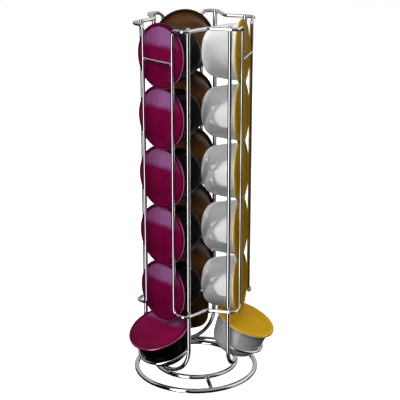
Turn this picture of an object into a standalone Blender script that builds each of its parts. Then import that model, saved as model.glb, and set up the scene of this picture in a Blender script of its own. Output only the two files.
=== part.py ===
"""Coffee capsule dispenser: a tower of chromed steel wire that holds eighteen sealed capsules.

Three columns of five capsules stand on edge, one on another, with their lids outwards. A sixth
capsule lies tilted in a holder arc at the foot of each column. Metres, +Z up, the floor at zero.
Each column is laid out in its own frame: X outwards from the tower's axis, Y along the rim, Z up.
"""

import math

import bpy
from mathutils import Vector

# Capsule, the cup's depth counted from the front of its flange
BODY_RADIUS = 0.0240
FLANGE_WIDTH = 0.0032
FOOT_TAPER = 0.0022
CUP_DEPTH = 0.0320
CUP_WALL = 0.0010
FLANGE_THICKNESS = 0.0010
LID_THICKNESS = 0.0007
LID_BORDER = 0.0030
LID_RECESS = 0.0003
FOOT_ROUND = 0.0120
FOOT_DISH = 0.0006
FOOT_LAND = 0.0030

# Wire diameters
BASE_WIRE = 0.0042
INNER_RING_WIRE = 0.0040
SPOKE_WIRE = 0.0034
UPRIGHT_WIRE = 0.0036
LOOP_WIRE = 0.0030
HOLDER_WIRE = 0.0028
BAR_WIRE = 0.0026

# Clearances
WELD_GAP = 0.0003
SEAT_GAP = 0.0003
GUIDE_PLAY = 0.0013
CUP_PLAY = 0.0007
LID_PLAY = 0.0005
FLANGE_PLAY = 0.0007

# Tower
FLAVOURS = ("berry", "gold", "cocoa")
FIRST_COLUMN = math.radians(-90)
COLUMN_CAPSULES = 5
BASE_SPREAD = 0.0179
INNER_RING_HEIGHT = 0.0066
UPRIGHT_OVERRUN = 0.0006
RETAINER_HALF_SPACING = 0.0171
HOLDER_TILT = math.radians(67)

# Places counted from what they belong with
HOLDER_OVERHANG = 0.0023  # the holder arc's centre outwards of the uprights
HOLDER_DROP = 0.0035  # and below the centre of the uprights' lower bend
RIM_PROUD = 0.0017  # the top rim above the loops' upper arms
FEED_RISE = 0.0112  # the loops' lower arms above the column's lowest rim
BAR_DROP = 0.0037  # the guard bar below the centre of the top capsule

# Bends of the loops, each of which takes at most this share of a straight run
CORNER_BEND = 0.0060
RETAINER_BEND = 0.0048
APEX_BEND = 0.0050
MOST_BEND_SHARE = 0.45

# Facets
WIRE_STEPS = 2
WIRE_SIDES = 4 + 2 * WIRE_STEPS
TURNED_STEPS = 20
FOOT_STEPS = 4
INNER_FOOT_STEPS = 2
BEND_STEPS = 3
APEX_STEPS = 2
U_STEPS = 12
HOLDER_STEPS = 14
BASE_STEPS = 32
INNER_RING_STEPS = 24
MERGE = 0.00001


def rim_chord(side):
    """Half the height of the rim where a wire at this distance from the column's centre line meets it."""
    return math.sqrt(max(RIM_RADIUS**2 - side**2, 0))


def facet_radius(diameter):
    """From a wire's centre to its flat facets."""
    return diameter / 2 * math.cos(math.pi / WIRE_SIDES)


# Capsules
RIM_RADIUS = BODY_RADIUS + FLANGE_WIDTH
FOOT_RADIUS = BODY_RADIUS - FOOT_TAPER
LID_STACK = LID_THICKNESS + SEAT_GAP + FLANGE_THICKNESS
FOOT_BACK = -LID_THICKNESS - SEAT_GAP - CUP_DEPTH
BODY_DRAFT = (BODY_RADIUS - FOOT_RADIUS) / (CUP_DEPTH - FOOT_ROUND - FLANGE_THICKNESS)
CAPSULE_PITCH = RIM_RADIUS + BODY_RADIUS + SEAT_GAP
CAPSULE_LEAN = math.asin((LID_STACK + SEAT_GAP) / CAPSULE_PITCH)

# Columns, as close to the axis as the rounded feet of neighbouring cups allow
COLUMN_ANGLE = 2 * math.pi / len(FLAVOURS)
HALF_ANGLE = COLUMN_ANGLE / 2
FOOT_CENTRE_SIDE = FOOT_RADIUS - FOOT_ROUND
FOOT_CENTRE_REACH = (
    CUP_PLAY / 2 + FOOT_ROUND + FOOT_CENTRE_SIDE * math.cos(HALF_ANGLE)
) / math.sin(HALF_ANGLE)
LID_REACH = FOOT_CENTRE_REACH - FOOT_ROUND + CUP_DEPTH + SEAT_GAP + LID_THICKNESS

# Uprights and the wires beside them
UPRIGHT_SIDE = BODY_RADIUS + GUIDE_PLAY + UPRIGHT_WIRE / 2
UPRIGHT_REACH = (
    LID_REACH - LID_STACK - FLANGE_PLAY - UPRIGHT_WIRE / 2
    - math.sin(CAPSULE_LEAN) * rim_chord(UPRIGHT_SIDE - UPRIGHT_WIRE / 2)
)
UPRIGHT_FOOT = INNER_RING_HEIGHT + INNER_RING_WIRE / 2 + WELD_GAP + UPRIGHT_WIRE / 2
UPRIGHT_BEND_HEIGHT = UPRIGHT_FOOT + UPRIGHT_SIDE
ARM_SIDE = UPRIGHT_SIDE + UPRIGHT_WIRE / 2 + WELD_GAP + LOOP_WIRE / 2
RETAINER_REACH = (
    LID_REACH + LID_PLAY + LOOP_WIRE / 2
    + math.sin(CAPSULE_LEAN) * rim_chord(RETAINER_HALF_SPACING - LOOP_WIRE / 2)
)

# Holder arc and the capsule in it
HOLDER_REACH = UPRIGHT_REACH + HOLDER_OVERHANG
HOLDER_HEIGHT = UPRIGHT_BEND_HEIGHT - HOLDER_DROP
HOLDER_RADIUS = UPRIGHT_SIDE - UPRIGHT_WIRE / 2 - WELD_GAP - HOLDER_WIRE / 2
HOLDER_SEAT_RADIUS = HOLDER_RADIUS - HOLDER_WIRE / 2 - SEAT_GAP
SEAT_DEPTH = LID_STACK + (BODY_RADIUS - HOLDER_SEAT_RADIUS) / BODY_DRAFT
HELD_REACH = HOLDER_REACH + SEAT_DEPTH * math.cos(HOLDER_TILT)
HELD_HEIGHT = HOLDER_HEIGHT + SEAT_DEPTH * math.sin(HOLDER_TILT)

# Base, and the shift that centres the footprint on the origin
BASE_RADIUS = UPRIGHT_REACH + BASE_SPREAD
BASE_HEIGHT = facet_radius(BASE_WIRE)
AXIS_SHIFT = (
    HELD_REACH + RIM_RADIUS * math.sin(HOLDER_TILT) - BASE_RADIUS - facet_radius(BASE_WIRE)
) / 2


def column_foot_height():
    """Height of the lowest column capsule, whose body rests on the upper edge of the held capsule's lid."""
    edge_reach = HELD_REACH - RIM_RADIUS * math.sin(HOLDER_TILT)
    edge_height = HELD_HEIGHT + RIM_RADIUS * math.cos(HOLDER_TILT)
    lean_sine = math.sin(CAPSULE_LEAN)
    lean_cosine = math.cos(CAPSULE_LEAN)
    inwards = LID_REACH - edge_reach
    radius_at_lid = BODY_RADIUS + BODY_DRAFT * LID_STACK
    rise = radius_at_lid + SEAT_GAP + inwards * (lean_sine - BODY_DRAFT * lean_cosine)
    return edge_height + rise / (lean_cosine + BODY_DRAFT * lean_sine)


# Heights up the column
COLUMN_FOOT = column_foot_height()
COLUMN_TOP = COLUMN_FOOT + (COLUMN_CAPSULES - 1) * CAPSULE_PITCH
RIM_RISE = RIM_RADIUS * math.cos(CAPSULE_LEAN)
LOOP_TOP = COLUMN_TOP + RIM_RISE - RIM_PROUD - LOOP_WIRE / 2
LOOP_BOTTOM = COLUMN_FOOT - RIM_RISE + FEED_RISE
BAR_HEIGHT = COLUMN_TOP - BAR_DROP
UPRIGHT_TOP = LOOP_TOP + LOOP_WIRE / 2 + UPRIGHT_OVERRUN


def clear_scene():
    for leftover in list(bpy.data.objects):
        bpy.data.objects.remove(leftover)


def collection_for(name):
    collection = bpy.data.collections.new(name)
    bpy.context.scene.collection.children.link(collection)
    return collection


def finish(name, color, roughness, metallic=0.0, coat=0.0):
    material = bpy.data.materials.new(name)
    material.use_nodes = True
    shader = material.node_tree.nodes["Principled BSDF"]
    shader.inputs["Base Color"].default_value = (*color, 1)
    shader.inputs["Roughness"].default_value = roughness
    shader.inputs["Metallic"].default_value = metallic
    shader.inputs["Coat Weight"].default_value = coat
    return material


def empty(name, parent=None, location=(0, 0, 0), turn=0.0):
    helper = bpy.data.objects.new(name, None)
    helper.parent = parent
    helper.location = location
    helper.rotation_euler = (0, 0, turn)
    parts.objects.link(helper)
    return helper


def wire(name, points, diameter, parent, closed=False, facet_turn=0.0):
    """A round wire along these points, in the frame of its parent."""
    curve = bpy.data.curves.new(name, "CURVE")
    curve.dimensions = "3D"
    curve.bevel_depth = diameter / 2
    curve.bevel_resolution = WIRE_STEPS
    curve.use_fill_caps = True
    spline = curve.splines.new("POLY")
    spline.points.add(len(points) - 1)
    for knot, place in zip(spline.points, points):
        knot.co = (*place, 1)
        knot.tilt = facet_turn
    spline.use_cyclic_u = closed
    curve.materials.append(chrome)
    piece = bpy.data.objects.new(name, curve)
    piece.parent = parent
    parts.objects.link(piece)
    return piece


def bend(before, corner, after, radius, steps):
    """Points of the arc that rounds a corner between two straight runs."""
    first = before - corner
    second = after - corner
    half = first.angle(second) / 2
    trim = min(radius / math.tan(half), MOST_BEND_SHARE * min(first.length, second.length))
    start_corner = corner + first.normalized() * trim
    end_corner = corner + second.normalized() * trim
    centre = corner + (first.normalized() + second.normalized()).normalized() * (trim / math.cos(half))
    start = start_corner - centre
    end = end_corner - centre
    sweep = start.angle(end)
    points = []
    for step in range(steps + 1):
        part = step / steps
        spoke = start * math.sin((1 - part) * sweep) + end * math.sin(part * sweep)
        points.append(centre + spoke / math.sin(sweep))
    return points


def ring_points(radius, height, steps):
    angles = (2 * math.pi * step / steps for step in range(steps))
    return [Vector((radius * math.cos(angle), radius * math.sin(angle), height)) for angle in angles]


def turned(name, profile, material, parent):
    """A solid of revolution about its own Z, from a profile that runs down its outer side."""
    mesh = bpy.data.meshes.new(name)
    edges = [(index, index + 1) for index in range(len(profile) - 1)]
    mesh.from_pydata([(radius, 0, height) for radius, height in profile], edges, [])
    mesh.materials.append(material)
    piece = bpy.data.objects.new(name, mesh)
    screw = piece.modifiers.new("Turn", "SCREW")
    screw.steps = TURNED_STEPS
    screw.render_steps = TURNED_STEPS
    screw.use_merge_vertices = True
    screw.merge_threshold = MERGE
    screw.use_smooth_shade = True
    piece.parent = parent
    parts.objects.link(piece)
    return piece


def foot_arc(wall, rise, steps):
    """The rounding of the foot from its side down, this far inside the outer skin."""
    points = []
    for step in range(steps + 1):
        angle = math.pi / 2 * step / steps
        points.append((
            FOOT_CENTRE_SIDE + (FOOT_ROUND - wall) * math.cos(angle),
            FOOT_BACK + FOOT_ROUND - (FOOT_ROUND - wall - rise) * math.sin(angle),
        ))
    return points


def cup_profile():
    """Inner wall upwards, over the flange, then down the outer wall to the dished foot."""
    front = -LID_THICKNESS - SEAT_GAP
    inner_arc = foot_arc(CUP_WALL, FOOT_DISH, INNER_FOOT_STEPS)
    profile = [(0, FOOT_BACK + FOOT_DISH + CUP_WALL)]
    profile += reversed(inner_arc)
    profile += [
        (BODY_RADIUS - CUP_WALL, front),
        (RIM_RADIUS, front),
        (RIM_RADIUS, front - FLANGE_THICKNESS),
        (BODY_RADIUS, front - FLANGE_THICKNESS),
    ]
    profile += foot_arc(0, 0, FOOT_STEPS)
    profile += [(FOOT_CENTRE_SIDE - FOOT_LAND, FOOT_BACK + FOOT_DISH), (0, FOOT_BACK + FOOT_DISH)]
    return profile


def lid_profile():
    """Sunk membrane, raised border, edge and flat back."""
    return [
        (0, -LID_RECESS),
        (RIM_RADIUS - LID_BORDER, -LID_RECESS),
        (RIM_RADIUS - LID_BORDER + LID_RECESS, 0),
        (RIM_RADIUS, 0),
        (RIM_RADIUS, -LID_THICKNESS),
        (0, -LID_THICKNESS),
    ]


def capsule(flavour, number, reach, height, tilt, column):
    """A cup and its lid, the lid's front centred on this point and its outward normal at this tilt."""
    for kind, profile, material in (
        ("cup", cup_profile(), cup_finishes[flavour]),
        ("lid", lid_profile(), lid_finishes[flavour]),
    ):
        piece = turned(f"{flavour}_{kind}_{number}", profile, material, column)
        piece.location = (reach, 0, height)
        piece.rotation_euler = (0, math.pi / 2 - tilt, 0)


def fill_column(flavour, column):
    for place in range(COLUMN_CAPSULES):
        height = COLUMN_FOOT + place * CAPSULE_PITCH
        capsule(flavour, COLUMN_CAPSULES - place, LID_REACH, height, CAPSULE_LEAN, column)
    capsule(flavour, COLUMN_CAPSULES + 1, HELD_REACH, HELD_HEIGHT, HOLDER_TILT, column)


def upright_wire(flavour, column):
    """One wire that goes up both sides of the column, its lower bend standing on the inner ring."""
    points = [Vector((UPRIGHT_REACH, -UPRIGHT_SIDE, UPRIGHT_TOP))]
    for step in range(U_STEPS + 1):
        angle = math.pi * step / U_STEPS
        points.append(Vector((
            UPRIGHT_REACH,
            -UPRIGHT_SIDE * math.cos(angle),
            UPRIGHT_BEND_HEIGHT - UPRIGHT_SIDE * math.sin(angle),
        )))
    points.append(Vector((UPRIGHT_REACH, UPRIGHT_SIDE, UPRIGHT_TOP)))
    wire(f"{flavour}_upright_wire", points, UPRIGHT_WIRE, column)


def holder_arc(flavour, column):
    """The tilted arc between the uprights that the held capsule's body sits in."""
    behind = UPRIGHT_REACH - UPRIGHT_WIRE / 2 - HOLDER_REACH
    end = math.acos(behind / (HOLDER_RADIUS * math.sin(HOLDER_TILT)))
    points = []
    for step in range(HOLDER_STEPS + 1):
        angle = end * (2 * step / HOLDER_STEPS - 1)
        forwards = HOLDER_RADIUS * math.cos(angle)
        points.append(Vector((
            HOLDER_REACH + forwards * math.sin(HOLDER_TILT),
            HOLDER_RADIUS * math.sin(angle),
            HOLDER_HEIGHT - forwards * math.cos(HOLDER_TILT),
        )))
    wire(f"{flavour}_holder_arc", points, HOLDER_WIRE, column)


def guard_bar(flavour, column):
    """The short bar across the top capsule, between the two retaining wires."""
    side = RETAINER_HALF_SPACING - LOOP_WIRE / 2 - WELD_GAP
    ends = [Vector((RETAINER_REACH, sign * side, BAR_HEIGHT)) for sign in (-1, 1)]
    wire(f"{flavour}_guard_bar", ends, BAR_WIRE, column)


def retaining_loop(name, column):
    """The closed wire between this column and the next: two V-shaped bars joined by two retaining wires."""
    next_column = Vector((math.cos(COLUMN_ANGLE), math.sin(COLUMN_ANGLE), 0))
    across = Vector((-math.sin(COLUMN_ANGLE), math.cos(COLUMN_ANGLE), 0))

    def this_side(reach, side, height):
        return Vector((reach, side, height))

    def next_side(reach, side, height):
        return next_column * reach - across * side + Vector((0, 0, height))

    apex_reach = ARM_SIDE / math.tan(HALF_ANGLE)
    corners = []
    for place, height_order in ((this_side, (LOOP_TOP, LOOP_BOTTOM)), (next_side, (LOOP_BOTTOM, LOOP_TOP))):
        first, second = height_order
        corners += [
            (place(apex_reach, ARM_SIDE, first), APEX_BEND, APEX_STEPS),
            (place(RETAINER_REACH, ARM_SIDE, first), CORNER_BEND, BEND_STEPS),
            (place(RETAINER_REACH, RETAINER_HALF_SPACING, first), RETAINER_BEND, BEND_STEPS),
            (place(RETAINER_REACH, RETAINER_HALF_SPACING, second), RETAINER_BEND, BEND_STEPS),
            (place(RETAINER_REACH, ARM_SIDE, second), CORNER_BEND, BEND_STEPS),
        ]
    points = []
    for index, (corner, radius, steps) in enumerate(corners):
        before = corners[index - 1][0]
        after = corners[(index + 1) % len(corners)][0]
        points += bend(before, corner, after, radius, steps)
    wire(name, points, LOOP_WIRE, column, closed=True)


def base_spoke(name, column):
    """The sloping strut from the inner ring down to the outer one, halfway to the next column."""
    inner = Vector((UPRIGHT_REACH, 0, INNER_RING_HEIGHT))
    outer = Vector((BASE_RADIUS, 0, BASE_HEIGHT))
    along = (outer - inner).normalized()
    inner += along * (INNER_RING_WIRE / 2 + WELD_GAP)
    outer -= along * (BASE_WIRE / 2 + WELD_GAP)
    spoke = wire(name, [inner, outer], SPOKE_WIRE, column)
    spoke.rotation_euler = (0, 0, HALF_ANGLE)


def base_rings(tower):
    half_facet = math.pi / WIRE_SIDES
    rings = (
        ("outer_base_ring", BASE_RADIUS, BASE_HEIGHT, BASE_STEPS, BASE_WIRE),
        ("inner_base_ring", UPRIGHT_REACH, INNER_RING_HEIGHT, INNER_RING_STEPS, INNER_RING_WIRE),
    )
    for name, radius, height, steps, diameter in rings:
        ring = wire(name, ring_points(radius, height, steps), diameter, tower, True, half_facet)
        ring.data.twist_mode = "Z_UP"


clear_scene()
parts = collection_for("Coffee capsule dispenser")
chrome = finish("Chrome wire", (0.78, 0.79, 0.80), 0.08, metallic=1.0)
cup_finishes = {
    "berry": finish("Black cup", (0.012, 0.012, 0.013), 0.22),
    "gold": finish("White cup", (0.80, 0.80, 0.80), 0.28),
    "cocoa": finish("Brown cup", (0.030, 0.016, 0.009), 0.25),
}
lid_finishes = {
    "berry": finish("Berry lid", (0.16, 0.003, 0.035), 0.25, coat=0.6),
    "gold": finish("Gold lid", (0.55, 0.28, 0.01), 0.25, coat=0.6),
    "cocoa": finish("Cocoa lid", (0.05, 0.022, 0.010), 0.30, coat=0.5),
}
tower_axis = empty("tower_axis", location=(0, AXIS_SHIFT, 0))
base_rings(tower_axis)
for index, flavour_name in enumerate(FLAVOURS):
    column_axis = empty(f"{flavour_name}_column", tower_axis, turn=FIRST_COLUMN + index * COLUMN_ANGLE)
    upright_wire(flavour_name, column_axis)
    holder_arc(flavour_name, column_axis)
    guard_bar(flavour_name, column_axis)
    retaining_loop(f"{flavour_name}_retaining_loop", column_axis)
    base_spoke(f"{flavour_name}_base_spoke", column_axis)
    fill_column(flavour_name, column_axis)
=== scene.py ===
"""Looks of the coffee capsule dispenser: bright chromed wire and eighteen moulded capsules with foil lids.

Every piece is drawn in the frame of its column or its capsule, X outwards, and copied to its places.
Metres, +Z up.
"""

import math

import bmesh
import bpy
from mathutils import Matrix, Vector


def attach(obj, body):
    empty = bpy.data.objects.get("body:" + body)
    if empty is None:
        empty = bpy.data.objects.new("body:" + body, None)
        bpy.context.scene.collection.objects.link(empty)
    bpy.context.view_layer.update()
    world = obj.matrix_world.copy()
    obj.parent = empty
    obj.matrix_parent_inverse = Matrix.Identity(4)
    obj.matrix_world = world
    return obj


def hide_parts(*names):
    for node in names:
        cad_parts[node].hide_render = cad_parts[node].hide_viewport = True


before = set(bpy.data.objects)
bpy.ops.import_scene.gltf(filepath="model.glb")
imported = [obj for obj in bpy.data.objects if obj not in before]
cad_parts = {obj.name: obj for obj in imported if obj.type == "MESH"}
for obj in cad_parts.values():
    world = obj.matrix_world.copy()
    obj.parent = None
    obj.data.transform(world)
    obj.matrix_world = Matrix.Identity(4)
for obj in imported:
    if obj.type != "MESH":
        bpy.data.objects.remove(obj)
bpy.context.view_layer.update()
bpy.ops.object.select_all(action="DESELECT")

# Capsule
BODY_RADIUS = 0.0240
RIM_RADIUS = 0.0272
CUP_WALL = 0.0010
BODY_DRAFT = 0.0022 / 0.0190
BODY_SWELL = 0.00025
BODY_STEPS = 5
FOOT_ROUND = 0.0120
FOOT_LAND = 0.0076
FOOT_DISH = 0.0006
LID_THICKNESS = 0.0007
LID_BORDER = 0.0030
LID_RECESS = 0.0003
LID_SWELL = 0.00026
MEMBRANE_SHARES = (0, 0.1, 0.2, 0.3, 0.4, 0.5, 0.6, 0.7, 0.78, 0.85, 0.91, 0.96)
BORDER_REACH = RIM_RADIUS - LID_BORDER
BORDER_BLEND = 0.0002
CUP_FOOT = -0.0330
FLANGE_BACK = -0.0020
COLLAR_STEP = 0.0002
COLLAR_DEPTH = 0.0030
BODY_START = 0.0034
FOOT_START = 0.0010
MOUTH_ROUND = 0.0003
RIM_FRONT_ROUND = 0.00035
RIM_BACK_ROUND = 0.0005
COLLAR_ROUND = 0.0006
STEP_ROUND = 0.0002
LAND_ROUND = 0.0005

# Rings moulded in the foot's dish, from the outside in: reach, height from the dish, rounding
FOOT_RINGS = (
    (FOOT_LAND - 0.0008, 0.0, 0.0003),
    (0.0054, 0.0, 0.0002),
    (0.0050, -0.0003, 0.0002),
    (0.0043, -0.0003, 0.0002),
    (0.0039, 0.0, 0.0002),
    (0.0026, 0.0, 0.0002),
    (0.0022, -0.0004, 0.0002),
    (0.0011, -0.0004, 0.0002),
    (0.0008, -0.0001, 0.0001),
    (0.0, -0.0001, 0.0),
)

# The lid's pressed border, from the inside out: reach, height, rounding
MEMBRANE_RADIUS = BORDER_REACH - BORDER_BLEND
LID_BORDER_CORNERS = (
    (MEMBRANE_RADIUS, -LID_RECESS, 0.0002),
    (MEMBRANE_RADIUS + 0.0004, -0.00002, 0.0003),
    (RIM_RADIUS - 0.0003, 0.0, 0.0006),
    (RIM_RADIUS, -LID_THICKNESS, 0.0),
)

# Wire
BASE_WIRE = 0.0042
INNER_RING_WIRE = 0.0040
SPOKE_WIRE = 0.0034
UPRIGHT_WIRE = 0.0036
LOOP_WIRE = 0.0030
HOLDER_WIRE = 0.0028
BAR_WIRE = 0.0026
WELD_GAP = 0.0003
UPRIGHT_END_ROUND = 0.0004
STRUT_END_ROUND = 0.0003
HOLDER_END_ROUND = 0.0005
BAR_END_SHARE = 0.32
BAR_BEAD_SHARE = 0.44
SPOKE_END_SHARE = 0.3
SPOKE_BEAD_SHARE = 0.22

# Half sizes of the weld beads
FOOT_BEAD = (0.0012, 0.0042, 0.0009)
LOOP_BEAD = (0.0014, 0.0007, 0.0013)
BAR_BEAD = (0.00142, 0.0009, 0.00150)
HOLDER_BEAD = (0.0013, 0.0008, 0.0014)
SPOKE_BEAD = (0.0011, 0.0021, 0.0018)

# Tower
FLAVOURS = ("berry", "gold", "cocoa")
COLUMN_CAPSULES = 5
HELD_CAPSULE = 6
FIRST_COLUMN = math.radians(-90)
COLUMN_ANGLE = math.radians(120)
AXIS_SHIFT = 0.0076827
CAPSULE_PITCH = 0.0515
CAPSULE_LEAN = math.radians(2.5597)
HOLDER_TILT = math.radians(67)
LID_REACH = 0.040919
COLUMN_FOOT = 0.086492
HELD_REACH = 0.046140
HELD_HEIGHT = 0.052836
UPRIGHT_REACH = 0.035973
UPRIGHT_SIDE = 0.0271
UPRIGHT_TOP = 0.318565
UPRIGHT_BEND_HEIGHT = 0.0378
ARM_SIDE = 0.0307
RETAINER_REACH = 0.043914
RETAINER_HALF_SPACING = 0.0171
LOOP_TOP = 0.316465
LOOP_BOTTOM = 0.070519
BAR_HEIGHT = 0.288792
HOLDER_OUTSET = 0.0023
HOLDER_DROP = 0.0035
HOLDER_REACH = UPRIGHT_REACH + HOLDER_OUTSET
HOLDER_HEIGHT = UPRIGHT_BEND_HEIGHT - HOLDER_DROP
HOLDER_RADIUS = 0.0236
HOLDER_BEAD_INSET = 0.0003
HOLDER_BEAD_RISE = 0.0010
# The outer ring is drawn this much smaller, so that it stays inside the solids' box.
BASE_TRIM = 0.00018
BASE_RADIUS = 0.053873 - BASE_TRIM
BASE_HEIGHT = BASE_WIRE / 2
INNER_RING_HEIGHT = 0.0066
CORNER_BEND = 0.0060
RETAINER_BEND = 0.0048
APEX_BEND = 0.0050
MOST_BEND_SHARE = 0.45
MOST_FOOT_SHARE = 0.92
SMALL_ROUNDING = 0.0020

# Fineness
WIRE_SIDES = 24
BEND_STEPS = 10
RING_STEPS = 144
UNDER_STEPS = 64
HOLDER_STEPS = 72
TURNED_STEPS = 72
SMALL_ROUND_STEPS = 4
FOOT_ROUND_STEPS = 20
END_ROUND_STEPS = 3
BEAD_FINENESS = 3
WIRE_SMOOTH_ANGLE = 35
TURNED_SMOOTH_ANGLE = 40
SEED_SIZE = 0.001
MERGE = 0.000002

# Where most of a noise lies, and the detail of a noise
NOISE_RANGE = (0.3, 0.7)
CLOUD_DETAIL = 3
FINE_DETAIL = 2

# Foil, in the capsule's own frame, X down the lid and Y across it. Two values are a range, and four
# are a range and what it becomes.
FOIL_CLOUDS = 70
# Streaks that break up the painted reflection at the top of the lid.
FOIL_STREAKS = (12, 170, 1)
FOIL_STREAK_SCALE = 2.2
# Painted shade: the foil darker towards the lid's lower edge.
FOIL_PAINTED_SHADE = (-0.004, 0.024)
# Painted light: the foil's tone shifts across the lid towards the glow colour, broken by a cloud.
SIDE_LIGHT_SLOPE = 14
SIDE_LIGHT_RANGE = (0.35, 0.95)
# Painted reflection: a soft paler crest at the top of the lid, its edge wavering with the cloud and fading
# towards both sides.
PAINTED_REFLECTION_WAVER = 0.006
PAINTED_REFLECTION_EDGE = (-0.0030, -0.0085)
PAINTED_REFLECTION_LEFT = (-0.016, 0.006, 0.62, 1.0)
PAINTED_REFLECTION_RIGHT = (0.0100, 0.0180, 1.0, 0.15)
LEAST_STREAK = 0.80
# Painted glints: specks of the crinkled foil in the painted reflection's paler colour.
SPECK_STRETCH = (1, 1.6, 1)
SPECK_SCALE = 520
SPECK_ROUGHNESS = 0.7
SPECK_RANGE = (0.48, 0.72)
# Painted highlight: the rolled edge takes a paler colour on its lower side only, and is also glossier and
# more metallic there.
ROLLED_EDGE = (RIM_RADIUS - 0.0010, RIM_RADIUS - 0.0007)
HIGHLIGHT_SIDE = (-0.004, 0.014)
PLEATS_AROUND = 9.0
PLEATS_OUTWARDS = 160.0
PLEAT_SCALE = 1.6
PLEAT_REACH = (0.013, 0.024)
PLEAT_DEPTH = 0.0004
FINE_SCALE = 1500
FINE_SHARE = 0.12
SATIN_ROUGHNESS = (0.30, 0.42)
ROLLED_POLISH = 0.16
FOIL_METALLIC = (0.10, 0.75)

# Plastic
PLASTIC_CLOUDS = 55
PLASTIC_FINE_SCALE = 1300
PLASTIC_BUMP = (0.05, 0.0001)
PLASTIC_GLOSS_RANGE = (0.25, 0.75)
PLASTIC_UNEVENNESS = 0.03
FLANGE_BLEND = 0.0005

# Chrome
CHROME_CLOUDS = 160
CHROME_BRIGHT = (0.82, 0.83, 0.84, 1)
CHROME_DULL = (0.77, 0.78, 0.80, 1)
CHROME_TINT_RANGE = (0.35, 0.7)
CHROME_GLOSS_RANGE = (0.3, 0.75)
CHROME_ROUGHNESS = (0.015, 0.04)


def column_frame(flavour):
    turn = FIRST_COLUMN + FLAVOURS.index(flavour) * COLUMN_ANGLE
    return Matrix.Translation((0, AXIS_SHIFT, 0)) @ Matrix.Rotation(turn, 4, "Z")


def capsule_frame(flavour, number):
    """The frame of a capsule: its lid's front at zero, +Z out of the lid, -X up the lid."""
    if number == HELD_CAPSULE:
        reach, height, tilt = HELD_REACH, HELD_HEIGHT, HOLDER_TILT
    else:
        height = COLUMN_FOOT + (COLUMN_CAPSULES - number) * CAPSULE_PITCH
        reach, tilt = LID_REACH, CAPSULE_LEAN
    place = Matrix.Translation((reach, 0, height)) @ Matrix.Rotation(math.pi / 2 - tilt, 4, "Y")
    return column_frame(flavour) @ place


# Working with the mesh tools


def only(piece):
    bpy.ops.object.select_all(action="DESELECT")
    piece.select_set(True)
    bpy.context.view_layer.objects.active = piece


def begin_edit():
    bpy.ops.object.mode_set(mode="EDIT")
    bpy.ops.mesh.select_all(action="SELECT")


def end_edit():
    bpy.ops.object.mode_set(mode="OBJECT")
    return bpy.context.object


def clean_skin():
    """Merges what meets and turns every face outwards."""
    bpy.ops.mesh.select_all(action="SELECT")
    bpy.ops.mesh.remove_doubles(threshold=MERGE)
    bpy.ops.mesh.normals_make_consistent(inside=False)


def smooth(piece, angle=WIRE_SMOOTH_ANGLE):
    only(piece)
    bpy.ops.object.shade_smooth_by_angle(angle=math.radians(angle))


def settle(piece, place=None):
    """Moves a piece to its place, and puts that place in its mesh."""
    if place is not None:
        piece.matrix_world = place @ piece.matrix_world
    only(piece)
    bpy.ops.object.transform_apply(location=True, rotation=True, scale=True)
    return piece


def copy_to(template, name, place):
    piece = template.copy()
    piece.data = template.data.copy()
    piece.name = name
    piece.data.name = name
    bpy.context.scene.collection.objects.link(piece)
    return settle(piece, place)


def stand_for(piece, node, body, finish):
    piece.data.materials.clear()
    piece.data.materials.append(finish)
    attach(piece, body)
    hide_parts(node)


# Wire work


def round_end(name, centre, heading, diameter):
    """The round end that a wire is drawn out from, square to its heading."""
    bpy.ops.object.select_all(action="DESELECT")
    turn = Vector(heading).to_track_quat("Z", "Y").to_euler()
    bpy.ops.mesh.primitive_circle_add(
        vertices=WIRE_SIDES, radius=diameter / 2, location=centre, rotation=turn
    )
    bpy.context.object.name = name
    bpy.ops.object.transform_apply(location=True, rotation=True, scale=True)
    begin_edit()


def run_straight(way):
    if Vector(way).length > MERGE:
        bpy.ops.mesh.extrude_region_move(TRANSFORM_OT_translate={"value": tuple(way)})


def run_round(centre, axis, angle, steps):
    """Bends the wire about an axis, right-handed."""
    bpy.ops.mesh.spin(steps=steps, angle=-angle, center=tuple(centre), axis=tuple(axis))


def close_wire():
    clean_skin()
    return end_edit()


def cap_wire(rounding):
    """Closes both ends of a wire and rounds their edges."""
    bpy.ops.mesh.select_all(action="SELECT")
    bpy.ops.mesh.remove_doubles(threshold=MERGE)
    bpy.ops.mesh.select_all(action="SELECT")
    bpy.ops.mesh.fill_holes(sides=0)
    bpy.ops.mesh.select_all(action="SELECT")
    bpy.ops.mesh.normals_make_consistent(inside=False)
    bpy.ops.mesh.select_all(action="DESELECT")
    bpy.ops.mesh.select_mode(type="FACE")
    skin = bmesh.from_edit_mesh(bpy.context.object.data)
    for face in skin.faces:
        face.select_set(len(face.verts) == WIRE_SIDES)
    bmesh.update_edit_mesh(bpy.context.object.data)
    bpy.ops.mesh.bevel(offset=rounding, segments=END_ROUND_STEPS, affect="EDGES")
    bpy.ops.mesh.select_mode(type="VERT")
    return end_edit()


def bend_of(before, corner, after, radius, most_share=MOST_BEND_SHARE):
    """Where a corner's bend starts and ends, its centre, its axis and its angle."""
    first = before - corner
    second = after - corner
    half = first.angle(second) / 2
    trim = min(radius / math.tan(half), most_share * min(first.length, second.length))
    centre = corner + (first.normalized() + second.normalized()).normalized() * (trim / math.cos(half))
    return {
        "start": corner + first.normalized() * trim,
        "end": corner + second.normalized() * trim,
        "centre": centre,
        "axis": (-first).cross(second).normalized(),
        "angle": math.pi - 2 * half,
    }


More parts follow.
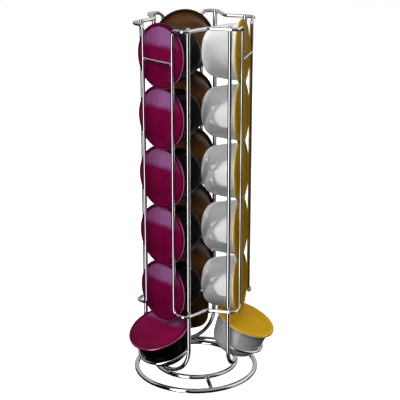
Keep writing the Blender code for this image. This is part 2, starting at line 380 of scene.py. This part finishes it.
def closed_wire(name, corners, diameter):
    """A closed wire round these corners, each a point and its bend."""
    bends = []
    for index, (corner, radius) in enumerate(corners):
        before = corners[index - 1][0]
        after = corners[(index + 1) % len(corners)][0]
        bends.append(bend_of(before, corner, after, radius))
    start = (bends[-1]["end"] + bends[0]["start"]) / 2
    round_end(name, start, bends[0]["start"] - bends[-1]["end"], diameter)
    here = start
    for bend in bends:
        run_straight(bend["start"] - here)
        run_round(bend["centre"], bend["axis"], bend["angle"], BEND_STEPS)
        here = bend["end"]
    run_straight(start - here)
    return close_wire()


def open_wire(name, start, end, diameter, rounding):
    round_end(name, start, end - start, diameter)
    run_straight(end - start)
    return cap_wire(rounding)


def ring(name, radius, height, diameter):
    round_end(name, (radius, 0, height), (0, 1, 0), diameter)
    run_round((0, 0, height), (0, 0, 1), 2 * math.pi, RING_STEPS)
    return close_wire()


def weld(place, size, lean=0.0):
    """A small bead of weld metal, flattened between the two wires that it joins."""
    bpy.ops.object.select_all(action="DESELECT")
    bpy.ops.mesh.primitive_ico_sphere_add(
        subdivisions=BEAD_FINENESS, radius=1, location=place, rotation=(0, lean, 0), scale=size
    )
    bpy.ops.object.transform_apply(location=True, rotation=True, scale=True)
    return bpy.context.object


def weld_on(piece, beads):
    only(piece)
    for bead in beads:
        bead.select_set(True)
    bpy.ops.object.join()
    return piece


def draw_upright():
    """One wire down a side of the column, round under it and up the other side."""
    start = Vector((UPRIGHT_REACH, -UPRIGHT_SIDE, UPRIGHT_TOP))
    drop = Vector((0, 0, UPRIGHT_BEND_HEIGHT - UPRIGHT_TOP))
    round_end("upright", start, drop, UPRIGHT_WIRE)
    run_straight(drop)
    run_round((UPRIGHT_REACH, 0, UPRIGHT_BEND_HEIGHT), (1, 0, 0), math.pi, UNDER_STEPS)
    run_straight(-drop)
    piece = cap_wire(UPRIGHT_END_ROUND)
    foot = (UPRIGHT_REACH, 0, INNER_RING_HEIGHT + INNER_RING_WIRE / 2 + WELD_GAP / 2)
    return weld_on(piece, [weld(foot, FOOT_BEAD)])


def draw_retaining_loop():
    """The closed wire between two neighbouring columns, with its four welds to their uprights."""
    next_column = Vector((math.cos(COLUMN_ANGLE), math.sin(COLUMN_ANGLE), 0))
    across = Vector((-math.sin(COLUMN_ANGLE), math.cos(COLUMN_ANGLE), 0))

    def this_side(reach, side, height):
        return Vector((reach, side, height))

    def next_side(reach, side, height):
        return next_column * reach - across * side + Vector((0, 0, height))

    apex_reach = ARM_SIDE / math.tan(COLUMN_ANGLE / 2)
    corners = []
    for place, first, second in ((this_side, LOOP_TOP, LOOP_BOTTOM), (next_side, LOOP_BOTTOM, LOOP_TOP)):
        corners += [
            (place(apex_reach, ARM_SIDE, first), APEX_BEND),
            (place(RETAINER_REACH, ARM_SIDE, first), CORNER_BEND),
            (place(RETAINER_REACH, RETAINER_HALF_SPACING, first), RETAINER_BEND),
            (place(RETAINER_REACH, RETAINER_HALF_SPACING, second), RETAINER_BEND),
            (place(RETAINER_REACH, ARM_SIDE, second), CORNER_BEND),
        ]
    piece = closed_wire("retaining_loop", corners, LOOP_WIRE)
    side = UPRIGHT_SIDE + UPRIGHT_WIRE / 2 + WELD_GAP / 2
    beads = []
    for place in (this_side, next_side):
        for height in (LOOP_TOP, LOOP_BOTTOM):
            beads.append(weld(place(UPRIGHT_REACH, side, height), LOOP_BEAD))
    return weld_on(piece, beads)


def draw_guard_bar():
    """The bar across the top capsule, its ends pressed into the retaining wires."""
    side = RETAINER_HALF_SPACING - LOOP_WIRE * BAR_END_SHARE
    start = Vector((RETAINER_REACH, -side, BAR_HEIGHT))
    end = Vector((RETAINER_REACH, side, BAR_HEIGHT))
    piece = open_wire("guard_bar", start, end, BAR_WIRE, STRUT_END_ROUND)
    bead_side = RETAINER_HALF_SPACING - LOOP_WIRE * BAR_BEAD_SHARE
    beads = []
    for sign in (-1, 1):
        beads.append(weld((RETAINER_REACH, sign * bead_side, BAR_HEIGHT), BAR_BEAD))
    return weld_on(piece, beads)


def draw_holder_arc():
    """The tilted arc that the held capsule hangs in, welded to the uprights' inner sides."""
    outwards = Vector((math.sin(HOLDER_TILT), 0, -math.cos(HOLDER_TILT)))
    axis = Vector((math.cos(HOLDER_TILT), 0, math.sin(HOLDER_TILT)))
    centre = Vector((HOLDER_REACH, 0, HOLDER_HEIGHT))
    behind = UPRIGHT_REACH - UPRIGHT_WIRE / 2 - HOLDER_REACH
    end = math.acos(behind / (HOLDER_RADIUS * math.sin(HOLDER_TILT)))
    sideways = Vector((0, 1, 0))
    start = centre + HOLDER_RADIUS * (math.cos(end) * outwards - math.sin(end) * sideways)
    heading = math.sin(end) * outwards + math.cos(end) * sideways
    round_end("holder_arc", start, heading, HOLDER_WIRE)
    run_round(centre, axis, 2 * end, HOLDER_STEPS)
    piece = cap_wire(HOLDER_END_ROUND)
    bead_side = UPRIGHT_SIDE - UPRIGHT_WIRE / 2 - HOLDER_BEAD_INSET
    bead_height = HOLDER_HEIGHT + HOLDER_BEAD_RISE
    beads = []
    for sign in (-1, 1):
        beads.append(weld((UPRIGHT_REACH, sign * bead_side, bead_height), HOLDER_BEAD))
    return weld_on(piece, beads)


def draw_spoke():
    """The sloping strut between the two base rings, halfway to the next column."""
    inner = Vector((UPRIGHT_REACH + INNER_RING_WIRE * SPOKE_END_SHARE, 0, INNER_RING_HEIGHT))
    outer = Vector((BASE_RADIUS - BASE_WIRE * SPOKE_END_SHARE, 0, BASE_HEIGHT))
    piece = open_wire("spoke", inner, outer, SPOKE_WIRE, STRUT_END_ROUND)
    slope = math.atan2(inner.z - outer.z, outer.x - inner.x)
    outwards = (outer - inner).normalized()
    near_inner = inner + outwards * INNER_RING_WIRE * SPOKE_BEAD_SHARE
    near_outer = outer - outwards * BASE_WIRE * SPOKE_BEAD_SHARE
    beads = [weld(place, SPOKE_BEAD, slope) for place in (near_inner, near_outer)]
    return settle(weld_on(piece, beads), Matrix.Rotation(COLUMN_ANGLE / 2, 4, "Z"))


# Capsules


def rounded(corners):
    """A profile of (radius, height, rounding) corners as points, each rounded corner as an arc."""
    points = []
    for index, (reach, height, rounding) in enumerate(corners):
        corner = Vector((reach, 0, height))
        if not rounding:
            points.append(corner)
            continue
        before = Vector((corners[index - 1][0], 0, corners[index - 1][1]))
        after = Vector((corners[index + 1][0], 0, corners[index + 1][1]))
        small = rounding < SMALL_ROUNDING
        bend = bend_of(before, corner, after, rounding, MOST_BEND_SHARE if small else MOST_FOOT_SHARE)
        arm = bend["start"] - bend["centre"]
        count = SMALL_ROUND_STEPS if small else FOOT_ROUND_STEPS
        for step in range(count + 1):
            turn = Matrix.Rotation(bend["angle"] * step / count, 3, bend["axis"])
            points.append(bend["centre"] + turn @ arm)
    return points


def turn_up(name, points):
    """Draws a profile point by point and turns it about its axis."""
    bpy.ops.object.select_all(action="DESELECT")
    bpy.ops.mesh.primitive_plane_add(size=SEED_SIZE, location=points[0])
    bpy.context.object.name = name
    bpy.ops.object.transform_apply(location=True, rotation=True, scale=True)
    begin_edit()
    bpy.ops.mesh.merge(type="CENTER")
    for before, after in zip(points, points[1:]):
        bpy.ops.mesh.extrude_region_move(TRANSFORM_OT_translate={"value": tuple(after - before)})
    bpy.ops.mesh.select_all(action="SELECT")
    bpy.ops.mesh.spin(steps=TURNED_STEPS, angle=2 * math.pi, center=(0, 0, 0), axis=(0, 0, 1))
    clean_skin()
    return end_edit()


def keep_own_place(piece):
    """Stores where each point lies in the capsule's own frame, for finishes that follow the capsule."""
    own = piece.data.attributes.new("own_place", "FLOAT_VECTOR", "POINT")
    for vertex, entry in zip(piece.data.vertices, own.data):
        entry.vector = vertex.co


def draw_cup():
    """The moulded cup: a rounded flange, a stepped collar, a drafted body and a dished foot."""
    front = -LID_THICKNESS
    foot = CUP_FOOT
    inner_foot = foot + CUP_WALL + FOOT_DISH
    collar = FLANGE_BACK - BODY_START
    body_end = foot + FOOT_ROUND + FOOT_START
    end_draft = BODY_DRAFT + 4 * BODY_SWELL / (collar - body_end)
    foot_corner = BODY_RADIUS + BODY_DRAFT * (body_end - FLANGE_BACK) - end_draft * (body_end - foot)
    dish = foot + FOOT_DISH
    profile = [
        (0, inner_foot, 0),
        (foot_corner - CUP_WALL, inner_foot, FOOT_ROUND - CUP_WALL),
        (BODY_RADIUS - CUP_WALL, front, MOUTH_ROUND),
        (RIM_RADIUS, front, RIM_FRONT_ROUND),
        (RIM_RADIUS, FLANGE_BACK, RIM_BACK_ROUND),
        (BODY_RADIUS + COLLAR_STEP, FLANGE_BACK, COLLAR_ROUND),
        (BODY_RADIUS, FLANGE_BACK - COLLAR_DEPTH, STEP_ROUND),
    ]
    for step in range(BODY_STEPS + 1):
        share = step / BODY_STEPS
        height = collar + (body_end - collar) * share
        swell = 4 * BODY_SWELL * share * (1 - share)
        profile.append((BODY_RADIUS + BODY_DRAFT * (height - FLANGE_BACK) + swell, height, 0))
    profile.append((foot_corner, foot, FOOT_ROUND))
    profile.append((FOOT_LAND, foot, LAND_ROUND))
    profile += [(reach, dish + rise, rounding) for reach, rise, rounding in FOOT_RINGS]
    piece = turn_up("cup", rounded(profile))
    keep_own_place(piece)
    smooth(piece, TURNED_SMOOTH_ANGLE)
    return piece


def draw_lid():
    """The foil lid: a membrane that swells a little inside its pressed border, and a rolled edge."""
    points = []
    for share in MEMBRANE_SHARES:
        height = -LID_RECESS + LID_SWELL * (1 - share**2)
        points.append(Vector((MEMBRANE_RADIUS * share, 0, height)))
    inner = (points[-1].x, points[-1].z, 0)
    points += rounded([inner, *LID_BORDER_CORNERS])[1:]
    points.append(Vector((0, 0, -LID_THICKNESS)))
    piece = turn_up("lid", points)
    keep_own_place(piece)
    smooth(piece, TURNED_SMOOTH_ANGLE)
    return piece


# Finishes


def new_finish(name):
    material = bpy.data.materials.new(name)
    material.use_nodes = True
    return material


def shader_of(material):
    return material.node_tree.nodes["Principled BSDF"]


def add(tree, kind, inputs=(), **settings):
    """Adds a node, sets it and joins or sets its inputs, each an (input, value or output) pair."""
    node = tree.nodes.new(kind)
    for key, value in settings.items():
        setattr(node, key, value)
    for key, value in inputs:
        if isinstance(value, bpy.types.NodeSocket):
            tree.links.new(value, node.inputs[key])
        else:
            node.inputs[key].default_value = value
    return node


def grain(tree, place, scale, detail=CLOUD_DETAIL, roughness=0.5):
    inputs = (("Vector", place), ("Scale", scale), ("Detail", detail), ("Roughness", roughness))
    return add(tree, "ShaderNodeTexNoise", inputs).outputs["Fac"]


def spread(tree, value, low, high, to_low=0.0, to_high=1.0):
    """Turns a range of a value smoothly into another range."""
    inputs = (
        ("Value", value),
        ("From Min", low),
        ("From Max", high),
        ("To Min", to_low),
        ("To Max", to_high),
    )
    return add(tree, "ShaderNodeMapRange", inputs, interpolation_type="SMOOTHSTEP").outputs["Result"]


def stretched(tree, place, scale):
    return add(tree, "ShaderNodeMapping", (("Vector", place), ("Scale", scale))).outputs["Vector"]


def sums(tree, operation, first, second):
    return add(tree, "ShaderNodeMath", ((0, first), (1, second)), operation=operation).outputs[0]


def blend_colours(tree, share, first, second):
    # A Mix node has its inputs once for each kind of value: 6 and 7 are its colours.
    inputs = (("Factor", share), (6, first), (7, second))
    return add(tree, "ShaderNodeMix", inputs, data_type="RGBA").outputs[2]


def bump(tree, height, strength, distance):
    inputs = (("Height", height), ("Strength", strength), ("Distance", distance))
    return add(tree, "ShaderNodeBump", inputs).outputs["Normal"]


def chrome_finish():
    """Bright chrome plating, a little cloudy in places."""
    material = new_finish("Chrome plated wire")
    tree = material.node_tree
    shader = shader_of(material)
    place = add(tree, "ShaderNodeTexCoord").outputs["Object"]
    cloud = grain(tree, place, CHROME_CLOUDS)
    tint = blend_colours(tree, spread(tree, cloud, *CHROME_TINT_RANGE), CHROME_BRIGHT, CHROME_DULL)
    tree.links.new(tint, shader.inputs["Base Color"])
    roughness = spread(tree, cloud, *CHROME_GLOSS_RANGE, *CHROME_ROUGHNESS)
    tree.links.new(roughness, shader.inputs["Roughness"])
    shader.inputs["Metallic"].default_value = 1.0
    return material


def cup_finish(name, colour, deep, flange_tone_and_light, gloss, specular):
    """Moulded plastic with a fine skin, a little uneven in gloss, and a flange of another colour, on the
    white cup painted light with a cream painted reflection.
    """
    material = new_finish(name)
    tree = material.node_tree
    shader = shader_of(material)
    place = add(tree, "ShaderNodeAttribute", attribute_name="own_place").outputs["Vector"]
    height = add(tree, "ShaderNodeSeparateXYZ", (("Vector", place),)).outputs["Z"]
    cloud = grain(tree, place, PLASTIC_CLOUDS)
    tint = blend_colours(tree, spread(tree, cloud, *NOISE_RANGE), deep, colour)
    # The flange's colour: on the white cup painted light, paler with a cream painted reflection; darker on
    # the brown cup.
    on_flange = spread(tree, height, FLANGE_BACK - FLANGE_BLEND, FLANGE_BACK)
    tree.links.new(blend_colours(tree, on_flange, tint, flange_tone_and_light), shader.inputs["Base Color"])
    roughness = spread(tree, cloud, *PLASTIC_GLOSS_RANGE, gloss + PLASTIC_UNEVENNESS, gloss)
    tree.links.new(roughness, shader.inputs["Roughness"])
    skin = bump(tree, grain(tree, place, PLASTIC_FINE_SCALE, FINE_DETAIL), *PLASTIC_BUMP)
    tree.links.new(skin, shader.inputs["Normal"])
    shader.inputs["Specular IOR Level"].default_value = specular
    return material


def lid_finish(name, body, low, glow, border, painted_reflection, painted_reflection_share, painted_rim_highlight, pleated, speckled, specular):
    """Satin printed foil: a pressed border, painted shade deepening it towards the foot, painted light
    across one side, a painted reflection as a soft paler crest at the top, painted glints and a painted
    highlight on the rolled edge.
    """
    material = new_finish(name)
    tree = material.node_tree
    shader = shader_of(material)
    place = add(tree, "ShaderNodeAttribute", attribute_name="own_place").outputs["Vector"]
    parts = add(tree, "ShaderNodeSeparateXYZ", (("Vector", place),))
    down = parts.outputs["X"]
    side = parts.outputs["Y"]
    flat = add(tree, "ShaderNodeCombineXYZ", (("X", down), ("Y", side))).outputs["Vector"]
    reach = add(tree, "ShaderNodeVectorMath", ((0, flat),), operation="LENGTH").outputs["Value"]
    cloud = grain(tree, place, FOIL_CLOUDS)
    streaks = grain(tree, stretched(tree, place, FOIL_STREAKS), FOIL_STREAK_SCALE, FINE_DETAIL)

    # Painted shade: the foil turns to its low colour towards the lid's lower edge.
    painted_low_shade = blend_colours(tree, spread(tree, down, *FOIL_PAINTED_SHADE), body, low)
    # Painted light: the foil's tone shifts across the lid towards the glow colour, broken by a cloud.
    clouded_side = sums(tree, "ADD", cloud, sums(tree, "MULTIPLY", side, SIDE_LIGHT_SLOPE))
    painted_side_light = blend_colours(tree, spread(tree, clouded_side, *SIDE_LIGHT_RANGE), painted_low_shade, glow)
    # Painted reflection: a soft paler crest at the top of the lid, streaked and fading at its sides.
    edge = sums(tree, "ADD", down, sums(tree, "MULTIPLY", cloud, PAINTED_REFLECTION_WAVER))
    painted_reflection_top = spread(tree, edge, *PAINTED_REFLECTION_EDGE)
    across = sums(tree, "MULTIPLY", spread(tree, side, *PAINTED_REFLECTION_LEFT), spread(tree, side, *PAINTED_REFLECTION_RIGHT))
    streaked = spread(tree, streaks, *NOISE_RANGE, painted_reflection_share * LEAST_STREAK, painted_reflection_share)
    painted_reflection_strength = sums(tree, "MULTIPLY", painted_reflection_top, sums(tree, "MULTIPLY", across, streaked))
    creased = stretched(tree, place, SPECK_STRETCH)
    # Painted glints: specks of the crinkled foil in the painted reflection's paler colour.
    crinkles = grain(tree, creased, SPECK_SCALE, CLOUD_DETAIL, SPECK_ROUGHNESS)
    specks = spread(tree, crinkles, *SPECK_RANGE, 0, speckled)
    membrane = blend_colours(tree, painted_reflection_strength, blend_colours(tree, specks, painted_side_light, painted_reflection), painted_reflection)
    pressed = spread(tree, reach, BORDER_REACH - BORDER_BLEND, BORDER_REACH + BORDER_BLEND)
    # Painted highlight: a paler colour on the lower side of the rolled edge, which is also glossier and
    # more metallic there.
    highlight_side = spread(tree, sums(tree, "ADD", down, side), *HIGHLIGHT_SIDE)
    highlighted_rolled_edge = sums(tree, "MULTIPLY", spread(tree, reach, *ROLLED_EDGE), highlight_side)
    colour = blend_colours(tree, highlighted_rolled_edge, blend_colours(tree, pressed, membrane, border), painted_rim_highlight)
    tree.links.new(colour, shader.inputs["Base Color"])

    around = sums(tree, "MULTIPLY", sums(tree, "ARCTAN2", side, down), PLEATS_AROUND)
    outwards = sums(tree, "MULTIPLY", reach, PLEATS_OUTWARDS)
    rolled_out = add(tree, "ShaderNodeCombineXYZ", (("X", around), ("Y", outwards))).outputs["Vector"]
    pleats = grain(tree, rolled_out, PLEAT_SCALE, FINE_DETAIL)
    pleat_height = sums(tree, "MULTIPLY", pleats, spread(tree, reach, *PLEAT_REACH))
    fine = grain(tree, place, FINE_SCALE, FINE_DETAIL)
    fine_height = sums(tree, "MULTIPLY", fine, FINE_SHARE)
    heights = sums(tree, "ADD", pleat_height, fine_height)
    tree.links.new(bump(tree, heights, pleated, PLEAT_DEPTH), shader.inputs["Normal"])
    satin = spread(tree, cloud, *NOISE_RANGE, *SATIN_ROUGHNESS)
    roughness = sums(tree, "SUBTRACT", satin, sums(tree, "MULTIPLY", highlighted_rolled_edge, ROLLED_POLISH))
    tree.links.new(roughness, shader.inputs["Roughness"])
    tree.links.new(spread(tree, highlighted_rolled_edge, 0, 1, *FOIL_METALLIC), shader.inputs["Metallic"])
    shader.inputs["Specular IOR Level"].default_value = specular
    return material


def shade(red, green, blue):
    """A colour given as it shows on a screen, 0 to 255, as the linear one that a shader takes."""
    linear = []
    for part in (red, green, blue):
        part = part / 255
        linear.append(part / 12.92 if part <= 0.04045 else ((part + 0.055) / 1.055) ** 2.4)
    return (*linear, 1)


# Studio

VIEW_TURN = math.radians(44.89)
VIEW_REACH = 1.00373
VIEW_HEIGHT = 0.50016
VIEW_TILT = math.radians(90 - 18.75)
VIEW_SWING = math.radians(0.21)
VIEW_LENS = 109.62
VIEW_SENSOR = 36
VIEW_FAR = 50
FLOOR_SIZE = 14
FLOOR_DROP = 0.0002
FLOOR_GREY = 0.62
FLOOR_GLOW = 0.96
LAMP_AIM = Vector((0, 0, 0.16))
SHEEN_AIM = Vector((0, 0, 0.18))
MIRRORED_DARK = 0.004

# The mirrored studio, as degrees: azimuths from the camera's, heights and softness, then strength
MIRRORED_BOXES = (
    (-200, 200, 52, 100, 4, 0.40),
    (-47, -20, -58, 52, 1, 2.40),
    (-200, -80, 10, 52, 2, 0.42),
    (-200, -140, -10, 10, 2, 0.45),
    (70, 102, -52, 2, 1.5, 0.34),
    (60, 138, 2, 52, 1.5, 0.95),
    (138, 200, -10, 52, 3, 0.50),
    (-12, 60, 10, 52, 3, 0.30),
)

# The soft boxes that shed the light: name, place, size and power
SOFT_BOXES = (
    ("Front box", (0.55, -0.80, 1.15), 0.8, 5.5),
    ("Fill box", (0.27, -1.00, 0.65), 0.9, 5.0),
    ("Left box", (-0.95, -0.70, 0.75), 0.8, 8.5),
    ("Right box", (1.10, 0.35, 0.80), 0.7, 3.5),
    ("Back box", (-0.75, 0.95, 0.70), 0.9, 8.5),
    ("Top box", (0.0, 0.0, 1.25), 0.7, 0.6),
)


def set_camera():
    data = bpy.data.cameras.new("Photograph camera")
    data.lens = VIEW_LENS
    data.sensor_width = VIEW_SENSOR
    data.clip_end = VIEW_FAR
    camera = bpy.data.objects.new("Photograph camera", data)
    camera.location = (
        VIEW_REACH * math.sin(VIEW_TURN),
        AXIS_SHIFT - VIEW_REACH * math.cos(VIEW_TURN),
        VIEW_HEIGHT,
    )
    camera.rotation_euler = (VIEW_TILT, 0, VIEW_TURN - VIEW_SWING)
    bpy.context.scene.collection.objects.link(camera)
    bpy.context.scene.camera = camera


def set_floor():
    """A pale floor that only the camera sees."""
    bpy.ops.object.select_all(action="DESELECT")
    bpy.ops.mesh.primitive_plane_add(size=FLOOR_SIZE, location=(0, 0, -FLOOR_DROP))
    floor = bpy.context.object
    floor.name = "floor"
    bpy.ops.object.transform_apply(location=True, rotation=True, scale=True)
    material = new_finish("Pale floor")
    shader = shader_of(material)
    shader.inputs["Base Color"].default_value = (FLOOR_GREY, FLOOR_GREY, FLOOR_GREY, 1)
    shader.inputs["Roughness"].default_value = 1.0
    shader.inputs["Specular IOR Level"].default_value = 0.0
    shader.inputs["Emission Color"].default_value = (1, 1, 1, 1)
    shader.inputs["Emission Strength"].default_value = FLOOR_GLOW
    floor.data.materials.append(material)
    floor.visible_diffuse = False
    floor.visible_glossy = False
    floor.visible_transmission = False
    floor.visible_shadow = False


def set_surroundings():
    """White to the camera, a dark studio with bright boxes to what mirrors it, and no light of its own."""
    world = bpy.data.worlds.new("Studio")
    bpy.context.scene.world = world
    world.use_nodes = True
    tree = world.node_tree
    tree.nodes.clear()
    sky = add(tree, "ShaderNodeTexCoord").outputs["Generated"]
    turn = (0, 0, math.pi / 2 - VIEW_TURN)
    turned = add(tree, "ShaderNodeMapping", (("Vector", sky), ("Rotation", turn))).outputs["Vector"]
    way = add(tree, "ShaderNodeSeparateXYZ", (("Vector", turned),))
    angle = sums(tree, "ARCTAN2", way.outputs["Y"], way.outputs["X"])
    rise = sums(tree, "ARCSINE", way.outputs["Z"], 0.0)

    def between(value, low, high, soft):
        """One between these degrees and nothing outside them."""
        above_low = spread(tree, value, math.radians(low - soft), math.radians(low + soft))
        below_high = spread(tree, value, math.radians(high + soft), math.radians(high - soft))
        return sums(tree, "MULTIPLY", above_low, below_high)

    mirrored = MIRRORED_DARK
    for left, right, foot, top, soft, strength in MIRRORED_BOXES:
        shape = sums(tree, "MULTIPLY", between(angle, left, right, soft), between(rise, foot, top, soft))
        mirrored = sums(tree, "ADD", sums(tree, "MULTIPLY", shape, strength), mirrored)
    seen = add(tree, "ShaderNodeLightPath").outputs["Is Camera Ray"]
    # A Mix node's inputs 2 and 3 are its numbers.
    shown = add(tree, "ShaderNodeMix", (("Factor", seen), (2, mirrored), (3, 1.0)), data_type="FLOAT")
    inputs = (("Color", (1, 1, 1, 1)), ("Strength", shown.outputs[0]))
    back = add(tree, "ShaderNodeBackground", inputs)
    output = add(tree, "ShaderNodeOutputWorld")
    tree.links.new(back.outputs["Background"], output.inputs["Surface"])
    world.cycles_visibility.diffuse = False
    bpy.context.scene.view_settings.view_transform = "Standard"


def hang_lamp(name, place, facing, size, power):
    """A soft box that the camera doesn't see."""
    lamp = bpy.data.lights.new(name, "AREA")
    lamp.shape = "RECTANGLE"
    lamp.size, lamp.size_y = size
    lamp.energy = power
    softbox = bpy.data.objects.new(name, lamp)
    softbox.location = place
    softbox.rotation_euler = facing.to_euler()
    softbox.visible_camera = False
    bpy.context.scene.collection.objects.link(softbox)
    return softbox


def set_soft_boxes(filled):
    """The soft boxes round the part, one of them only for these pieces."""
    for name, place, size, power in SOFT_BOXES:
        facing = (LAMP_AIM - Vector(place)).to_track_quat("-Z", "Y")
        softbox = hang_lamp(name, place, facing, (size, size), power)
        softbox.visible_glossy = False
        if name == "Fill box":
            softbox.light_linking.receiver_collection = filled


def set_sheen(name, azimuth, rise, reach, size, power, lit, mirrored=True):
    """A soft box for the pale plastic alone, only mirrored in it or only shed on it.

    Its azimuth is from the camera's.
    """
    turn = VIEW_TURN - math.pi / 2 + math.radians(azimuth)
    rise = math.radians(rise)
    way = Vector((math.cos(rise) * math.cos(turn), math.cos(rise) * math.sin(turn), math.sin(rise)))
    softbox = hang_lamp(name, SHEEN_AIM + way * reach, way.to_track_quat("Z", "Y"), size, power)
    softbox.visible_diffuse = not mirrored
    softbox.visible_glossy = mirrored
    softbox.data.use_shadow = mirrored
    softbox.light_linking.receiver_collection = lit


set_camera()
set_floor()
set_surroundings()
glossy_plastic = bpy.data.collections.new("Glossy plastic")
white_cups = bpy.data.collections.new("Stacked white cups")
filled_pieces = bpy.data.collections.new("Lit by the fill box")
set_soft_boxes(filled_pieces)
set_sheen("Front sheen", -20, 3, reach=1.4, size=(2.0, 4.6), power=180.0, lit=glossy_plastic)
set_sheen("High sheen", -94, 40, reach=1.4, size=(0.9, 1.0), power=46.0, lit=glossy_plastic)
set_sheen("Foot fill", -85, 20, reach=1.2, size=(0.9, 0.9), power=19.0, lit=white_cups, mirrored=False)

chrome = chrome_finish()
cup_finishes = {
    "berry": cup_finish(
        "Black cup plastic",
        colour=shade(13, 13, 13),
        deep=shade(10, 10, 10),
        flange_tone_and_light=shade(22, 20, 22),
        gloss=0.20,
        specular=0.03,
    ),
    "gold": cup_finish(
        "White cup plastic",
        colour=shade(220, 220, 220),
        deep=shade(216, 216, 217),
        flange_tone_and_light=shade(236, 230, 206),
        gloss=0.07,
        specular=0.50,
    ),
    "cocoa": cup_finish(
        "Brown cup plastic",
        colour=shade(92, 58, 26),
        deep=shade(78, 48, 18),
        flange_tone_and_light=shade(46, 28, 10),
        gloss=0.30,
        specular=0.05,
    ),
}
# Each foil's low colour is painted shade, its glow painted light, its crest colour a painted reflection
# and its rim colour a painted highlight.
lid_finishes = {
    "berry": lid_finish(
        "Berry foil",
        body=shade(128, 6, 64),
        low=shade(96, 2, 44),
        glow=shade(138, 10, 68),
        border=shade(92, 2, 48),
        painted_reflection=shade(172, 116, 176),
        painted_reflection_share=0.82,
        painted_rim_highlight=shade(204, 100, 150),
        pleated=0.15,
        speckled=0.0,
        specular=0.08,
    ),
    "gold": lid_finish(
        "Gold foil",
        body=shade(230, 178, 4),
        low=shade(234, 176, 2),
        glow=shade(218, 168, 2),
        border=shade(238, 188, 12),
        painted_reflection=shade(236, 202, 74),
        painted_reflection_share=0.3,
        painted_rim_highlight=shade(248, 216, 110),
        pleated=0.5,
        speckled=0.45,
        specular=0.02,
    ),
    "cocoa": lid_finish(
        "Cocoa foil",
        body=shade(92, 58, 30),
        low=shade(74, 44, 20),
        glow=shade(100, 66, 36),
        border=shade(62, 36, 18),
        painted_reflection=shade(140, 112, 88),
        painted_reflection_share=0.5,
        painted_rim_highlight=shade(150, 112, 80),
        pleated=0.2,
        speckled=0.1,
        specular=0.08,
    ),
}

column_wires = {
    "upright_wire": ("upright", draw_upright()),
    "retaining_loop": ("retainer", draw_retaining_loop()),
    "guard_bar": ("guard", draw_guard_bar()),
    "holder_arc": ("holder", draw_holder_arc()),
    "base_spoke": ("spoke", draw_spoke()),
}
for node, (name, template) in column_wires.items():
    smooth(template)
    for flavour in FLAVOURS:
        piece = copy_to(template, f"{flavour}_{name}", column_frame(flavour))
        stand_for(piece, f"{flavour}_{node}", "rack", chrome)
    bpy.data.objects.remove(template)

for name, node, radius, height, diameter in (
    ("outer_ring", "outer_base_ring", BASE_RADIUS, BASE_HEIGHT, BASE_WIRE),
    ("inner_ring", "inner_base_ring", UPRIGHT_REACH, INNER_RING_HEIGHT, INNER_RING_WIRE),
):
    piece = settle(ring(name, radius, height, diameter), Matrix.Translation((0, AXIS_SHIFT, 0)))
    smooth(piece)
    stand_for(piece, node, "rack", chrome)

cup = draw_cup()
lid = draw_lid()
for flavour in FLAVOURS:
    for number in range(1, HELD_CAPSULE + 1):
        place = capsule_frame(flavour, number)
        body = f"{flavour}_capsule_{number}"
        moulded = copy_to(cup, f"{flavour}_moulded_cup_{number}", place)
        if flavour == "gold" and number <= COLUMN_CAPSULES:
            white_cups.objects.link(moulded)
            # The sheens would burn out the top cup.
            if number > 1:
                glossy_plastic.objects.link(moulded)
        else:
            filled_pieces.objects.link(moulded)
        stand_for(moulded, f"{flavour}_cup_{number}", body, cup_finishes[flavour])
        foil = copy_to(lid, f"{flavour}_foil_lid_{number}", place)
        filled_pieces.objects.link(foil)
        stand_for(foil, f"{flavour}_lid_{number}", body, lid_finishes[flavour])
bpy.data.objects.remove(cup)
bpy.data.objects.remove(lid)
